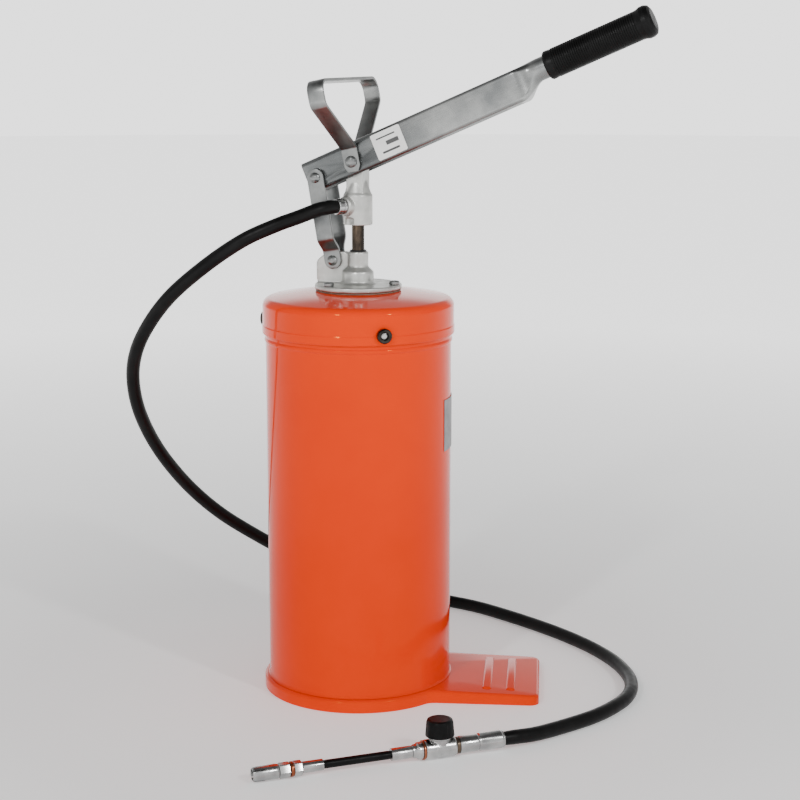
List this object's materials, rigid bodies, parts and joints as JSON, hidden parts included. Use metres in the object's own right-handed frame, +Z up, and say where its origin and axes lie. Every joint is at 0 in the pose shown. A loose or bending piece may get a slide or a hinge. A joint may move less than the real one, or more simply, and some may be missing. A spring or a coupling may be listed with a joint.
{
  "type": "hand lever oil pump",
  "caption": "Hand lever gear oil pump on a round drum with a foot plate, carrying handle, outlet hose, shut-off valve and nozzle.",
  "frame": {"origin": "on the drum's axis, on the floor under the foot plate", "axes": "+Z up along the drum's axis, +X the way the pump lever points, +Y to the left of the lever"},
  "size_m": [0.5245, 0.5472, 0.6627],
  "materials": {
    "orange_paint": "gloss",
    "zinc_plate": "zinc plated",
    "cast_alloy": "as cast",
    "dark_steel": "dark, oily",
    "brass": "machined",
    "copper": "copper washer",
    "black_rubber": "satin",
    "black_plastic": "satin",
    "seal_rubber": "matte",
    "white_label": "matte",
    "label_foil": "satin",
    "gasket_fibre": "matte"
  },
  "bodies": {
    "tank": {"base_plate": "orange_paint", "drum_label": "label_foil", "drum_shell": "orange_paint", "flange_gasket": "gasket_fibre", "flange_screw_1": "dark_steel", "flange_screw_2": "dark_steel", "flange_screw_3": "dark_steel", "foot_valve_body": "brass", "lid": "orange_paint", "lid_nut_1": "zinc_plate", "lid_nut_2": "zinc_plate", "lid_nut_3": "zinc_plate", "lid_screw_1": "zinc_plate", "lid_screw_2": "zinc_plate", "lid_screw_3": "zinc_plate", "nozzle_adapter": "zinc_plate", "nozzle_coupler": "zinc_plate", "nozzle_hose": "black_rubber", "nozzle_hose_adapter": "zinc_plate", "nozzle_hose_ferrule_lower": "zinc_plate", "nozzle_hose_ferrule_upper": "zinc_plate", "nozzle_lock_nut": "zinc_plate", "nozzle_washer": "copper", "outlet_hose": "black_rubber", "pump_barrel": "dark_steel", "pump_flange": "cast_alloy", "rod_bush": "brass", "rod_seal": "seal_rubber", "suction_strainer": "brass", "suction_tube": "dark_steel", "valve_body": "zinc_plate", "valve_ferrule": "zinc_plate", "valve_inlet_ring": "dark_steel", "valve_washer": "copper"},
    "head": {"pump_head": "cast_alloy", "piston_rod": "dark_steel", "piston": "brass", "piston_seal": "seal_rubber", "hose_ferrule_inlet": "zinc_plate", "head_pivot_pin": "zinc_plate"},
    "lever": {"lever_channel": "zinc_plate", "hand_grip": "black_rubber", "inspection_sticker": "white_label"},
    "link": {"link_plate_front": "zinc_plate", "link_plate_rear": "zinc_plate", "link_lug_pin": "zinc_plate", "link_lever_pin": "zinc_plate"},
    "handle": {"carry_handle": "zinc_plate"},
    "knob": {"valve_knob": "black_plastic", "valve_plug": "dark_steel"},
    "foot_ball": {"foot_valve_ball": "dark_steel"},
    "outlet_ball": {"discharge_ball": "dark_steel"}
  },
  "joints": [
    {"name": "rod_slide", "type": "slide", "parent": "tank", "child": "head", "axis": [0, 0, 1], "range_m": [-0.024, 0.012]},
    {"name": "lever_hinge", "type": "hinge", "parent": "head", "child": "lever", "pos_m": [0, 0, 0.5195], "axis": [0, -1, 0], "range_deg": [-32.2, 16.1]},
    {"name": "link_hinge", "type": "hinge", "parent": "tank", "child": "link", "pos_m": [-0.0235, 0, 0.424], "axis": [0, -1, 0], "range_deg": [-2.25, 4.45]},
    {"name": "carry_handle_hinge", "type": "hinge", "parent": "head", "child": "handle", "pos_m": [0, 0, 0.5195], "axis": [0, 1, 0], "range_deg": [-60, 40]},
    {"name": "valve_knob_turn", "type": "hinge", "parent": "tank", "child": "knob", "pos_m": [0.13743, -0.16905, 0.00932], "axis": [-0.0087, -0.0068, 0.9999], "range_deg": [0, 90]},
    {"name": "foot_ball_lift", "type": "slide", "parent": "tank", "child": "foot_ball", "axis": [0, 0, 1], "range_m": [0, 0.003]},
    {"name": "outlet_ball_lift", "type": "slide", "parent": "head", "child": "outlet_ball", "axis": [0, 0, 1], "range_m": [0, 0.003]}
  ],
  "couplings": [
    {"joint": "lever_hinge", "follows": "rod_slide", "rad_per_m": 23.41},
    {"joint": "link_hinge", "follows": "rod_slide", "rad_per_m": -3.21}
  ]
}
